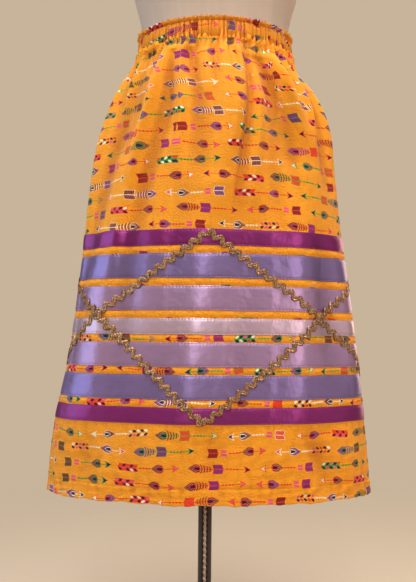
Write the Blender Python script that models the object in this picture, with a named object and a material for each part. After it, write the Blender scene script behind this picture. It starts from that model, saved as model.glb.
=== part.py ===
"""Ribbon skirt worn on a limbless dress form.

Metres, +Z up. The origin is on the floor under the stand's pole. The skirt's
front faces -Y and +X is on the right of someone who looks at the front.

The cloth is described in its own terms: how far round it a point lies, as a
fraction of the way round from the centre front (positive towards +X), and how
high. Every piece that lies on the skirt is made from the skirt's own points,
moved out.
"""

import math
from bisect import bisect_right
from collections import namedtuple
from functools import lru_cache

import bmesh
import bpy

# ---- driving sizes -------------------------------------------------------

SEAM_GAP = 0.0003           # between pieces that touch
CLOTH = 0.0012              # wall of the printed cotton
RIBBON = 0.0010             # wall of the satin ribbon
RIBBON_SEAT = 0.0005        # its underside, out from the cloth
RICKRACK = 0.0012           # wall of the braid

HEM_HEIGHT = 0.320
CASING_SEAM = 1.044         # where the body is gathered into the casing
SIDE_DIP = 0.006            # the waist sits this much lower at the sides
DIP_END = 0.900             # height at which that dip has gone

GATHERS = 80                # round the whole waist
GATHER_DEPTH = 0.0021       # out and in from the middle of the cloth
COLUMNS = GATHERS           # columns of the body below the gathers
FINE = 2 * GATHERS          # columns of the gathered rings
CASING_COLUMNS = 4 * GATHERS

Section = namedtuple("Section", "height left right front back roundness")
SECTIONS = (                # half sizes from the pole's line, outside the cloth
    Section(1.080, 0.1175, 0.1352, 0.0960, 0.0960, 2.00),
    Section(1.044, 0.1175, 0.1352, 0.0965, 0.0970, 2.00),
    Section(1.019, 0.1300, 0.1432, 0.1050, 0.1060, 2.00),
    Section(0.986, 0.1490, 0.1685, 0.1120, 0.1170, 2.00),
    Section(0.945, 0.1630, 0.1885, 0.1170, 0.1270, 1.98),
    Section(0.900, 0.1775, 0.2005, 0.1190, 0.1340, 1.95),
    Section(0.857, 0.1875, 0.2055, 0.1200, 0.1370, 1.92),
    Section(0.758, 0.2055, 0.2215, 0.1210, 0.1360, 1.88),
    Section(0.639, 0.2245, 0.2385, 0.1230, 0.1350, 1.84),
    Section(0.530, 0.2420, 0.2535, 0.1270, 0.1370, 1.80),
    Section(0.429, 0.2625, 0.2665, 0.1320, 0.1410, 1.76),
    Section(0.320, 0.2690, 0.2785, 0.1380, 0.1470, 1.70),
)

# Rings of the body's outer points: the gathered ones, then the smooth ones.
GATHERED_RINGS = (              # height, share of the gathers' depth, puff outwards
    (1.044, 0.85, 0.0000),
    (1.035, 1.15, 0.0022),
    (1.020, 0.80, 0.0008),
)
SMOOTH_RINGS = (                # both walls; from the band down, one between each two ribbons
    1.000, 0.970, 0.930, 0.880, 0.820, 0.749, 0.7115, 0.6615,
    0.6115, 0.574, 0.524, 0.474, 0.4365, 0.380, HEM_HEIGHT,
)

# Folds. A tuck stands forward on one side of its line and falls away on the
# other: side is +1 where the cloth towards +X is the lower. A soft fold is a
# rounded ridge, or a valley where its depth is negative.
Fold = namedtuple("Fold", "kind top bottom upper lower depth width side")
FOLDS = (
    # front, from the side seam at -X to the one at +X
    Fold("soft", -0.270, -0.240, 1.010, 0.200, -0.0130, 0.050, 0),
    Fold("soft", -0.325, -0.305, 0.900, 0.200, 0.0060, 0.050, 0),
    Fold("tuck", -0.190, -0.176, 1.040, 0.900, 0.0040, 0.030, -1),
    Fold("tuck", -0.110, -0.128, 1.040, 0.780, 0.0042, 0.046, -1),
    Fold("soft", -0.163, -0.180, 0.880, 0.250, 0.0045, 0.046, 0),
    Fold("soft", -0.074, -0.088, 0.900, 0.560, 0.0026, 0.032, 0),
    Fold("soft", -0.004, -0.042, 0.840, 0.250, 0.0036, 0.050, 0),
    Fold("tuck", 0.062, 0.018, 1.040, 0.730, 0.0050, 0.050, 1),
    Fold("tuck", 0.122, 0.098, 1.036, 0.880, 0.0034, 0.030, -1),
    Fold("tuck", 0.178, 0.170, 1.040, 0.860, 0.0040, 0.034, 1),
    Fold("soft", 0.136, 0.108, 0.860, 0.250, 0.0042, 0.046, 0),
    Fold("soft", 0.060, 0.046, 0.800, 0.250, -0.0024, 0.040, 0),
    # back
    Fold("tuck", 0.288, 0.276, 1.040, 0.850, 0.0038, 0.036, 1),
    Fold("tuck", 0.352, 0.338, 1.038, 0.800, 0.0046, 0.046, -1),
    Fold("soft", 0.318, 0.312, 0.900, 0.250, 0.0046, 0.050, 0),
    Fold("tuck", 0.432, 0.446, 1.040, 0.760, 0.0046, 0.046, 1),
    Fold("soft", 0.402, 0.392, 0.840, 0.250, 0.0038, 0.046, 0),
    Fold("soft", 0.490, 0.504, 0.860, 0.250, 0.0044, 0.050, 0),
    Fold("tuck", -0.438, -0.420, 1.040, 0.820, 0.0042, 0.040, -1),
    Fold("soft", -0.408, -0.398, 0.840, 0.250, 0.0040, 0.048, 0),
    Fold("tuck", -0.346, -0.352, 1.036, 0.860, 0.0038, 0.034, 1),
)
TUCK_STEP = 0.006           # how far round a tuck takes to fall away
TUCK_FALL = 0.75            # its hollow, as a share of its ridge
FOLD_RISE = 0.028           # height over which a fold grows from its upper end

BAND_TOP = 0.743            # top edge of the highest ribbon
RIBBON_SPACE = 0.0120       # printed cloth that shows between two ribbons
NARROW = 0.0254
WIDE = 0.0380
Ribbon = namedtuple("Ribbon", "node width colour")
MAGENTA = (0.22, 0.014, 0.13)
VIOLET = (0.21, 0.13, 0.29)
LILAC = (0.37, 0.21, 0.40)
PALE = (0.52, 0.37, 0.47)
RIBBONS = (                 # from the top down
    Ribbon("ribbon_1_magenta", NARROW, MAGENTA),
    Ribbon("ribbon_2_violet", WIDE, VIOLET),
    Ribbon("ribbon_3_lilac", WIDE, LILAC),
    Ribbon("ribbon_4_pale", NARROW, PALE),
    Ribbon("ribbon_5_lilac", WIDE, LILAC),
    Ribbon("ribbon_6_violet", WIDE, VIOLET),
    Ribbon("ribbon_7_magenta", NARROW, MAGENTA),
)

BRAID_TURNS = (             # where the two lines cross and turn, from the centre back round
    -0.500, -0.330, -0.159, -0.005, 0.155, 0.328, 0.500,
)
BRAID_CROSSINGS = (0.607, 0.613, 0.608, 0.607)  # heights of every other one, where they cross
BRAID_TOP = 0.739           # the braid's middle line at a diamond's top
BRAID_BOTTOM = 0.444
BRAID_PITCH = 0.0170        # one whole wave
BRAID_SWING = 0.0040        # the wave's own half height
BRAID_HALF_BAND = 0.0029    # half the width of the braid's strand
BRAID_SEAT = RIBBON_SEAT + RIBBON + 0.0006  # its underside, out from the cloth
BRAID_LIFT = RICKRACK + 0.0005              # the second line, over the first
BRAID_BRIDGE = 0.5          # how much of a ridge's bulge its straight stretches clear
LIFT_FULL = 0.022           # distance from a crossing that is fully lifted
LIFT_END = 0.044

CASING_WALL = 0.0026        # cloth, elastic and cloth
CASING_RIPPLE = 0.0014
CASING_PROFILE = (          # above the seam, outwards, share of the ripple
    (0.0003, 0.0000, 0.9),
    (0.0140, 0.0012, 1.0),
    (0.0290, 0.0000, 0.6),
    (0.0360, 0.0010, 1.2),
)

FORM_COLUMNS = 28
FormSection = namedtuple("FormSection", "height middle half_width front back roundness")
FORM_SECTIONS = (           # at the waist it is 0.4 mm inside the casing
    FormSection(0.790, 0.007, 0.1480, 0.0860, 0.1000, 2.15),
    FormSection(0.860, 0.008, 0.1590, 0.0970, 0.1140, 2.05),
    FormSection(0.925, 0.009, 0.1560, 0.0965, 0.1090, 2.00),
    FormSection(0.985, 0.009, 0.1400, 0.0930, 0.0985, 2.00),
    FormSection(1.030, 0.009, 0.1219, 0.0921, 0.0926, 2.00),
    FormSection(1.085, 0.009, 0.1219, 0.0921, 0.0926, 2.00),
    FormSection(1.150, 0.009, 0.1380, 0.1020, 0.0970, 2.00),
    FormSection(1.215, 0.009, 0.1520, 0.1220, 0.1040, 2.10),
    FormSection(1.275, 0.009, 0.1630, 0.1260, 0.1070, 2.20),
    FormSection(1.335, 0.009, 0.1690, 0.1080, 0.1030, 2.30),
    FormSection(1.375, 0.009, 0.1660, 0.0870, 0.0940, 2.30),
    FormSection(1.400, 0.009, 0.1520, 0.0730, 0.0830, 2.25),
    FormSection(1.422, 0.009, 0.1120, 0.0620, 0.0720, 2.15),
    FormSection(1.442, 0.009, 0.0700, 0.0550, 0.0620, 2.00),
    FormSection(1.460, 0.009, 0.0570, 0.0530, 0.0580, 2.00),
    FormSection(1.490, 0.009, 0.0540, 0.0520, 0.0560, 2.00),
    FormSection(1.500, 0.009, 0.0490, 0.0470, 0.0510, 2.00),
)

POLE_RADIUS = 0.0113
POLE_SIDES = 24
BASE_RADIUS = 0.170
BASE_THICKNESS = 0.010
BASE_SIDES = 32
HUB_RADIUS = 0.019
HUB_HEIGHT = 0.060

COTTON = (0.84, 0.33, 0.035)
BRAID_COLOUR = (0.36, 0.19, 0.06)
FORM_COLOUR = (0.56, 0.44, 0.34)
STEEL = (0.03, 0.024, 0.024)


# ---- small tools ---------------------------------------------------------

def smoothstep(value):
    """0 below 0, 1 above 1, with a soft start and end."""
    value = min(max(value, 0.0), 1.0)
    return value * value * (3.0 - 2.0 * value)


def between(low, high, share):
    return low + (high - low) * share


def signed_power(value, power):
    return math.copysign(abs(value) ** power, value)


def section_at(height, sections):
    """The section at a height, on a smooth curve through the table's rows."""
    rows = sorted(sections)
    heights = [row.height for row in rows]
    height = min(max(height, heights[0]), heights[-1])
    i = min(max(bisect_right(heights, height) - 1, 0), len(rows) - 2)
    low, high = rows[i], rows[i + 1]
    before = rows[max(i - 1, 0)]
    after = rows[min(i + 2, len(rows) - 1)]
    span = high.height - low.height
    t = (height - low.height) / span
    curve = (
        2 * t ** 3 - 3 * t ** 2 + 1,
        t ** 3 - 2 * t ** 2 + t,
        3 * t ** 2 - 2 * t ** 3,
        t ** 3 - t ** 2,
    )
    values = []
    for p, a, b, q in zip(before[1:], low[1:], high[1:], after[1:]):
        slope_a = (b - p) / (high.height - before.height) * span
        slope_b = (q - a) / (after.height - low.height) * span
        values.append(curve[0] * a + curve[1] * slope_a + curve[2] * b + curve[3] * slope_b)
    return values


OVAL_STEPS = 480


def oval_points(middle, half_width, front, back, roundness):
    """A closed oval that starts at the centre back, with the length up to each point."""
    points = []
    for step in range(OVAL_STEPS + 1):
        angle = 2 * math.pi * step / OVAL_STEPS - math.pi
        across, along = math.sin(angle), math.cos(angle)
        depth = front if along > 0 else back
        x = middle + half_width * signed_power(across, 2 / roundness)
        points.append((x, -depth * signed_power(along, 2 / roundness)))
    lengths = [0.0]
    for a, b in zip(points, points[1:]):
        lengths.append(lengths[-1] + math.dist(a, b))
    return points, lengths


def along_oval(points, lengths, fraction):
    """The point and the outward direction at a fraction of the way round."""
    wanted = ((fraction + 0.5) % 1.0) * lengths[-1]
    i = min(max(bisect_right(lengths, wanted) - 1, 0), OVAL_STEPS - 1)
    share = (wanted - lengths[i]) / (lengths[i + 1] - lengths[i])
    (ax, ay), (bx, by) = points[i], points[i + 1]
    before = points[(i - 1) % OVAL_STEPS]
    after = points[(i + 2) % OVAL_STEPS]
    dx, dy = after[0] - before[0], after[1] - before[1]
    size = math.hypot(dx, dy)
    return (between(ax, bx, share), between(ay, by, share)), (dy / size, -dx / size)


@lru_cache(maxsize=None)
def skirt_oval(height):
    left, right, front, back, roundness = section_at(height, SECTIONS)
    return oval_points((right - left) / 2, (right + left) / 2, front, back, roundness)


def girth(height):
    return skirt_oval(height)[1][-1]


def dipped(height, fraction):
    """The height of a ring's point: the waist dips a little at both sides."""
    share = smoothstep((height - DIP_END) / (CASING_SEAM - DIP_END))
    return height - SIDE_DIP * share * math.sin(2 * math.pi * fraction) ** 2


# ---- the skirt's surface -------------------------------------------------

def fold_profile(fold, distance):
    """A fold's height at a distance round the cloth from its line."""
    if fold.kind == "soft":
        if abs(distance) > fold.width:
            return 0.0
        return 0.5 * (1 + math.cos(math.pi * distance / fold.width))
    away = distance * fold.side
    if away < 0:
        return (1 - smoothstep(-away / fold.width)) * smoothstep(0.5 - away / TUCK_STEP)
    hollow = -TUCK_FALL * (1 - smoothstep((away - TUCK_STEP) / fold.width))
    return between(0.5, hollow, smoothstep(away / TUCK_STEP))


def folds_at(fraction, height):
    total = 0.0
    for fold in FOLDS:
        grown = smoothstep((fold.upper - height) / FOLD_RISE)
        fading = smoothstep((height - fold.lower) / (0.5 * (fold.upper - fold.lower)))
        if grown * fading == 0:
            continue
        share = (fold.upper - height) / (fold.upper - max(fold.lower, HEM_HEIGHT))
        line = between(fold.top, fold.bottom, min(max(share, 0.0), 1.0))
        distance = ((fraction - line + 0.5) % 1.0 - 0.5) * girth(height)
        total += fold.depth * grown * fading * fold_profile(fold, distance)
    return total


def gather_wave(fraction):
    """Out at each gather's ridge and in between, no two quite the same depth."""
    turn = 2 * math.pi * fraction
    uneven = 1 + 0.22 * math.sin(13 * turn) + 0.16 * math.sin(29 * turn + 1.3)
    return uneven * math.cos(GATHERS * turn)


def body_point(fraction, height, out):
    (x, y), (nx, ny) = along_oval(*skirt_oval(height), fraction)
    out += folds_at(fraction, height)
    return (x + nx * out, y + ny * out, dipped(height, fraction))


def moved_out(points, distance):
    """The points of a closed ring moved sideways off it, seen from above."""
    count = len(points)
    moved = []
    for i, (x, y, z) in enumerate(points):
        ax, ay, _ = points[i - 1]
        bx, by, _ = points[(i + 1) % count]
        size = math.hypot(bx - ax, by - ay)
        moved.append((x + (by - ay) / size * distance, y - (bx - ax) / size * distance, z))
    return moved


@lru_cache(maxsize=None)
def smooth_ring(height):
    """One outer ring of the body, all round, from the centre front."""
    return [body_point(i / COLUMNS, height, 0.0) for i in range(COLUMNS)]


@lru_cache(maxsize=None)
def ring_over_cloth(height, out):
    """A ring over the body's own facets, at a distance out from them."""
    lower = max(level for level in SMOOTH_RINGS if level <= height)
    upper = min(level for level in SMOOTH_RINGS if level >= height)
    share = 0.0 if upper == lower else (height - lower) / (upper - lower)
    ring = []
    for a, b in zip(smooth_ring(lower), smooth_ring(upper)):
        ring.append(tuple(between(p, q, share) for p, q in zip(a, b)))
    return moved_out(ring, out)


def over_cloth(column, height, out):
    """A point at any column, whole or not, over the body's facets."""
    ring = ring_over_cloth(height, out)
    first = math.floor(column)
    a, b = ring[first % COLUMNS], ring[(first + 1) % COLUMNS]
    return tuple(between(p, q, column - first) for p, q in zip(a, b))


def bulge(column, height):
    """How far the cloth's nearest corners stand out from between their neighbours."""
    ring = ring_over_cloth(height, 0.0)
    most = 0.0
    for corner in (math.floor(column), math.floor(column) + 1):
        (ax, ay, _), (bx, by, _), (cx, cy, _) = (ring[(corner + k) % COLUMNS] for k in (-1, 0, 1))
        area = (cx - ax) * (by - ay) - (cy - ay) * (bx - ax)
        most = max(most, -area / math.hypot(cx - ax, cy - ay))
    return most


# ---- mesh building -------------------------------------------------------

class Shell:
    """Collects lines of points and the triangles between them."""

    def __init__(self):
        self.points = []
        self.faces = []

    def line(self, points, closed=False):
        start = len(self.points)
        self.points.extend(points)
        line = list(range(start, len(self.points)))
        return line + line[:1] if closed else line

    def stitch(self, first, second):
        """Triangles between two lines that run the same way, of any counts."""
        i = j = 0
        last_i, last_j = len(first) - 1, len(second) - 1
        while i < last_i or j < last_j:
            if j == last_j or (i < last_i and (i + 1) * last_j <= (j + 1) * last_i):
                self.faces.append((first[i], first[i + 1], second[j]))
                i += 1
            else:
                self.faces.append((first[i], second[j + 1], second[j]))
                j += 1

    def stitch_all(self, lines):
        for first, second in zip(lines, lines[1:]):
            self.stitch(first, second)

    def cap(self, line):
        """A flat face over a closed line."""
        self.faces.append(tuple(line[:-1]))

    def build(self, node, material):
        mesh = bpy.data.meshes.new(node)
        mesh.from_pydata(self.points, [], self.faces)
        work = bmesh.new()
        work.from_mesh(mesh)
        bmesh.ops.triangulate(work, faces=[f for f in work.faces if len(f.verts) > 4])
        bmesh.ops.recalc_face_normals(work, faces=work.faces)
        work.to_mesh(mesh)
        work.free()
        mesh.materials.append(material)
        mesh.shade_smooth()
        mesh.set_sharp_from_angle(angle=math.radians(50))
        obj = bpy.data.objects.new(node, mesh)
        bpy.context.scene.collection.objects.link(obj)
        return obj


def make_material(name, colour, roughness, metallic=0.0):
    material = bpy.data.materials.new(name)
    material.use_nodes = True
    shader = material.node_tree.nodes["Principled BSDF"]
    shader.inputs["Base Color"].default_value = (*colour, 1.0)
    shader.inputs["Roughness"].default_value = roughness
    shader.inputs["Metallic"].default_value = metallic
    return material


# ---- cloth pieces --------------------------------------------------------

def open_ends(points, gap):
    """The same line of points with each end drawn in, to leave a seam's gap."""
    def nearer(a, b):
        share = gap / math.dist(a, b)
        return tuple(between(p, q, share) for p, q in zip(a, b))
    return [nearer(points[0], points[1]), *points[1:-1], nearer(points[-1], points[-2])]


def make_panel(node, first, last, material):
    """A front or back panel, between the columns of its two side seams."""
    shell = Shell()
    step = FINE // COLUMNS
    outer = []
    for height, depth, puff in GATHERED_RINGS:
        ring = []
        for i in range(first * step, last * step + 1):
            fraction = i / FINE
            out = puff + GATHER_DEPTH * depth * gather_wave(fraction)
            ring.append(body_point(fraction, height, out))
        outer.append(shell.line(open_ends(ring, SEAM_GAP / 2)))
    for height in SMOOTH_RINGS:
        ring = [smooth_ring(height)[i % COLUMNS] for i in range(first, last + 1)]
        outer.append(shell.line(open_ends(ring, SEAM_GAP / 2)))
    inner = []
    plain_inside = -CLOTH - GATHER_DEPTH * 1.3
    for height, _, puff in GATHERED_RINGS[::2]:
        ring = [body_point(i / COLUMNS, height, plain_inside + puff) for i in range(first, last + 1)]
        inner.append(shell.line(open_ends(ring, SEAM_GAP / 2)))
    for height in SMOOTH_RINGS:
        whole = ring_over_cloth(height, -CLOTH)
        ring = [whole[i % COLUMNS] for i in range(first, last + 1)]
        inner.append(shell.line(open_ends(ring, SEAM_GAP / 2)))
    shell.stitch_all(outer)
    shell.stitch_all(inner[::-1])
    shell.stitch(inner[0], outer[0])
    shell.stitch(outer[-1], inner[-1])
    for end in (0, -1):
        sides = [line[end] for line in outer], [line[end] for line in inner]
        shell.stitch(*(sides if end else sides[::-1]))
    return shell.build(node, material)


def make_casing(material):
    """The elastic casing: gathered outside, plain inside, with a small header."""
    shell = Shell()
    outer = []
    for above, out, ripple in CASING_PROFILE:
        ring = []
        for i in range(CASING_COLUMNS):
            fraction = i / CASING_COLUMNS
            wave = CASING_RIPPLE * ripple * gather_wave(fraction + 0.125 / GATHERS)
            ring.append(casing_point(fraction, above, out + wave))
        outer.append(shell.line(ring, closed=True))
    inner = []
    for above in (CASING_PROFILE[0][0], CASING_PROFILE[-1][0]):
        ring = [casing_point(i / COLUMNS, above, -CASING_RIPPLE - CASING_WALL) for i in range(COLUMNS)]
        inner.append(shell.line(ring, closed=True))
    shell.stitch_all(outer)
    shell.stitch_all(inner)
    shell.stitch(inner[0], outer[0])
    shell.stitch(outer[-1], inner[-1])
    return shell.build("waistband_casing", material)


def casing_point(fraction, above, out):
    (x, y), (nx, ny) = along_oval(*skirt_oval(CASING_SEAM), fraction)
    return (x + nx * out, y + ny * out, dipped(CASING_SEAM, fraction) + above)


def make_ribbon(ribbon, top, material):
    """One satin ribbon, all round, over the body's facets."""
    shell = Shell()
    bottom = top - ribbon.width
    near, far = RIBBON_SEAT, RIBBON_SEAT + RIBBON
    corners = ((bottom, far), (top, far), (top, near), (bottom, near))
    lines = [shell.line(ring_over_cloth(height, out), closed=True) for height, out in corners]
    shell.stitch_all(lines + lines[:1])
    return shell.build(ribbon.node, material)


# ---- rickrack ------------------------------------------------------------

def braid_corners(starts_down):
    """Where one line turns or crosses, from the centre back all the way round."""
    corners = []
    for i, fraction in enumerate(BRAID_TURNS):
        low = (i // 2 % 2 == 0) == starts_down
        height = BRAID_CROSSINGS[i // 2] if i % 2 == 0 else (BRAID_BOTTOM if low else BRAID_TOP)
        corners.append((fraction * COLUMNS, height))
    return corners


def column_width(height):
    return girth(round(height, 3)) / COLUMNS


def braid_middle(corners):
    """The middle of the strand: a zigzag along the line, with its distance to a crossing."""
    points = [(*corners[0], 0.0)]
    side = 1
    for i, ((c0, h0), (c1, h1)) in enumerate(zip(corners, corners[1:])):
        width = column_width((h0 + h1) / 2)
        run, rise = (c1 - c0) * width, h1 - h0
        length = math.hypot(run, rise)
        halves = 2 * round(length / BRAID_PITCH)
        for k in range(halves):
            share = (k + 0.5) / halves
            swing = BRAID_SWING * side
            column = between(c0, c1, share) - rise / length * swing / width
            height = between(h0, h1, share) + run / length * swing
            crossing = share if i % 2 == 0 else 1 - share
            points.append((column, height, crossing * length))
            side = -side
    points.append((*corners[-1], 0.0))
    return points


MITRE_LIMIT = 1.7


def strand_edges(points):
    """Both edges of the strand, mitred at each bend, its two ends cut upright."""
    edges = []
    for i, (column, height, crossing) in enumerate(points):
        width = column_width(height)
        directions = []
        for a, b in ((i - 1, i), (i, i + 1)):
            if a >= 0 and b < len(points):
                run = (points[b][0] - points[a][0]) * width
                rise = points[b][1] - points[a][1]
                size = math.hypot(run, rise)
                directions.append((run / size, rise / size))
        if len(directions) == 1:
            mitre = (0.0, 1.0 / abs(directions[0][0]))
        else:
            (ax, ay), (bx, by) = directions
            nx, ny = -(ay + by), ax + bx
            size = math.hypot(nx, ny)
            stretch = min(1.0 / max(size / 2, 0.1), MITRE_LIMIT)
            mitre = (nx / size * stretch, ny / size * stretch)
        offset_column = mitre[0] * BRAID_HALF_BAND / width
        offset_height = mitre[1] * BRAID_HALF_BAND
        edges.append((
            (column + offset_column, height + offset_height),
            (column - offset_column, height - offset_height),
            crossing,
        ))
    return edges


def make_rickrack(node, starts_down, lifted, material):
    """One line of rickrack, round the skirt once, its ends at the centre back."""
    corners = braid_corners(starts_down)
    half_gap = SEAM_GAP / column_width(BRAID_CROSSINGS[0])
    corners[0] = (corners[0][0] + half_gap, corners[0][1])
    corners[-1] = (corners[-1][0] - half_gap, corners[-1][1])
    shell = Shell()
    loops = []
    for upper, lower, crossing in strand_edges(braid_middle(corners)):
        lift = 1 - smoothstep((crossing - LIFT_FULL) / (LIFT_END - LIFT_FULL))
        seat = BRAID_SEAT + BRAID_BRIDGE * max(bulge(*upper), bulge(*lower))
        near = seat + (BRAID_LIFT * lift if lifted else 0.0)
        far = near + RICKRACK
        loop = [over_cloth(*edge, out) for edge, out in
                ((upper, near), (upper, far), (lower, far), (lower, near))]
        loops.append(shell.line(loop, closed=True))
    shell.stitch_all(loops)
    shell.cap(loops[0])
    shell.cap(loops[-1])
    return shell.build(node, material)


# ---- form and stand ------------------------------------------------------

def make_torso(material):
    """The dress form: one smooth closed shape, flat underneath and at the neck."""
    shell = Shell()
    rings = []
    for section in FORM_SECTIONS:
        ring = []
        points, lengths = oval_points(*section[1:])
        for i in range(FORM_COLUMNS):
            (x, y), _ = along_oval(points, lengths, i / FORM_COLUMNS)
            ring.append((x, y, section.height))
        rings.append(shell.line(ring, closed=True))
    shell.stitch_all(rings)
    shell.cap(rings[0])
    shell.cap(rings[-1])
    return shell.build("form_torso", material)


def turned(node, profile, sides, material):
    """A turned shape from a profile of radius and height that starts and ends on the axis."""
    shell = Shell()
    rings = []
    angles = [2 * math.pi * i / sides for i in range(sides)]
    for radius, height in profile:
        ring = [(radius * math.cos(a), radius * math.sin(a), height) for a in angles]
        rings.append(shell.line(ring, closed=True))
    shell.stitch_all(rings)
    shell.cap(rings[0])
    shell.cap(rings[-1])
    return shell.build(node, material)


def make_stand(material):
    pole_foot = BASE_THICKNESS + SEAM_GAP
    pole_top = FORM_SECTIONS[0].height - SEAM_GAP
    turned("stand_pole", ((POLE_RADIUS, pole_foot), (POLE_RADIUS, pole_top)), POLE_SIDES, material)
    bore = POLE_RADIUS + SEAM_GAP
    turned("stand_base", (
        (bore, BASE_THICKNESS),
        (bore, HUB_HEIGHT),
        (HUB_RADIUS, HUB_HEIGHT),
        (HUB_RADIUS, BASE_THICKNESS + 0.004),
        (HUB_RADIUS + 0.010, BASE_THICKNESS),
        (BASE_RADIUS - 0.004, BASE_THICKNESS),
        (BASE_RADIUS, BASE_THICKNESS - 0.004),
        (BASE_RADIUS, 0.0),
    ), BASE_SIDES, material)


def main():
    for obj in list(bpy.data.objects):
        bpy.data.objects.remove(obj, do_unlink=True)
    cotton = make_material("printed_cotton", COTTON, 0.85)
    quarter = COLUMNS // 4
    make_panel("skirt_front", -quarter, quarter, cotton)
    make_panel("skirt_back", quarter, 3 * quarter, cotton)
    make_casing(cotton)
    top = BAND_TOP
    for ribbon in RIBBONS:
        make_ribbon(ribbon, top, make_material(ribbon.node, ribbon.colour, 0.35))
        top -= ribbon.width + RIBBON_SPACE
    braid = make_material("rickrack", BRAID_COLOUR, 0.45, 0.5)
    make_rickrack("rickrack_a", True, False, braid)
    make_rickrack("rickrack_b", False, True, braid)
    make_torso(make_material("form_cover", FORM_COLOUR, 0.9))
    make_stand(make_material("black_steel", STEEL, 0.45, 0.8))


main()
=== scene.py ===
"""Looks of the ribbon skirt on its dress form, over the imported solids.

Metres, in the frame's own axes. The cloth is described as in part.py: how far
round it a point lies, as a fraction of the way round from the centre front
(positive towards +X), and how high.
"""

import functools
import math

import bpy
import numpy as np
from mathutils import Matrix, Vector


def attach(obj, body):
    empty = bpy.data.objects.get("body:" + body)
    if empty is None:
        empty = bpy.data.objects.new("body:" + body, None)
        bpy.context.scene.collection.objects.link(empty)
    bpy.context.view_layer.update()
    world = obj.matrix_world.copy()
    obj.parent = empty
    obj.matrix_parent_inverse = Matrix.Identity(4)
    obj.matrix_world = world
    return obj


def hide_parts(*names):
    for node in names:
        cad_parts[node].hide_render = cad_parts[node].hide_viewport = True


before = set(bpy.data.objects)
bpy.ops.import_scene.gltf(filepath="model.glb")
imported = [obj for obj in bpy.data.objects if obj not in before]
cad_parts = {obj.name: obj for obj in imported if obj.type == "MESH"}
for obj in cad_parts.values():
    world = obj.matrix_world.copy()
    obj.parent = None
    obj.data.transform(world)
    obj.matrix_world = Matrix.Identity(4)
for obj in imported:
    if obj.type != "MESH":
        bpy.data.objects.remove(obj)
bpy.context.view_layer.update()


def scaled(units, *rows):
    """A table of whole numbers, each column over its unit."""
    return np.array(rows) / units


# Sizes that part.py also holds.

HEM_HEIGHT = 0.32
CASING_SEAM = 1.044
SIDE_DIP = 0.006  # how much lower the waist runs at the sides
DIP_END = 0.9  # the height where that dip ends
GATHERS = 80

# Height, left, right, front and back in tenths of a millimetre, roundness in hundredths.
SECTION_UNITS = (10000,) * 5 + (100,)
SECTIONS = scaled(
    SECTION_UNITS,
    (10800, 1175, 1352, 960, 960, 200), (10440, 1175, 1352, 965, 970, 200),
    (10190, 1300, 1432, 1050, 1060, 200), (9860, 1490, 1685, 1120, 1170, 200),
    (9450, 1630, 1885, 1170, 1270, 198), (9000, 1775, 2005, 1190, 1340, 195),
    (8570, 1875, 2055, 1200, 1370, 192), (7580, 2055, 2215, 1210, 1360, 188),
    (6390, 2245, 2385, 1230, 1350, 184), (5300, 2420, 2535, 1270, 1370, 180),
    (4290, 2625, 2665, 1320, 1410, 176), (3200, 2690, 2785, 1380, 1470, 170),
)

# Top and bottom fraction in thousandths, upper and lower height in millimetres, depth
# in tenths of one (negative for a trough) and width in millimetres. A fold's last number
# is the side that a tuck faces, or 0 for a soft fold.
FOLD_UNITS = (1000, 1000, 1000, 1000, 10000, 1000)
FOLDS = scaled(
    FOLD_UNITS + (1,),
    (-270, -240, 1010, 200, -130, 50, 0), (-325, -305, 900, 200, 60, 50, 0),
    (-190, -176, 1040, 900, 40, 30, -1), (-110, -128, 1040, 780, 42, 46, -1),
    (-163, -180, 880, 250, 45, 46, 0), (-74, -88, 900, 560, 26, 32, 0),
    (-4, -42, 840, 250, 36, 50, 0), (62, 18, 1040, 730, 50, 50, 1),
    (122, 98, 1036, 880, 34, 30, -1), (178, 170, 1040, 860, 40, 34, 1),
    (136, 108, 860, 250, 42, 46, 0), (60, 46, 800, 250, -24, 40, 0),
    (288, 276, 1040, 850, 38, 36, 1), (352, 338, 1038, 800, 46, 46, -1),
    (318, 312, 900, 250, 46, 50, 0), (432, 446, 1040, 760, 46, 46, 1),
    (402, 392, 840, 250, 38, 46, 0), (490, 504, 860, 250, 44, 50, 0),
    (-438, -420, 1040, 820, 42, 40, -1), (-408, -398, 840, 250, 40, 48, 0),
    (-346, -352, 1036, 860, 38, 34, 1),
)
TUCK_STEP = 0.006
TUCK_FALL = 0.75
FOLD_RISE = 0.028

BAND_TOP = 0.743
RIBBON_SPACE = 0.012
NARROW = 0.0254
WIDE = 0.038
RIBBONS = (  # colour and width, from the top down
    ("magenta", NARROW), ("violet", WIDE), ("lilac", WIDE), ("pale", NARROW),
    ("lilac", WIDE), ("violet", WIDE), ("magenta", NARROW),
)
BRAID_TURNS = (-0.5, -0.33, -0.159, -0.005, 0.155, 0.328, 0.5)
BRAID_CROSSINGS = (0.607, 0.613, 0.608, 0.607)
BRAID_TOP = 0.739
BRAID_BOTTOM = 0.444
BRAID_PITCH = 0.017
BRAID_SWING = 0.004
BRAID_HALF_BAND = 0.0036
BRAID_LIFT = 0.0017  # how far the upper line rises over a crossing
LIFT_FULL = 0.022  # distances to the crossing where that lift is whole, and gone
LIFT_END = 0.044
CASING_TOP = 0.036  # its upper edge, above the seam

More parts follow.
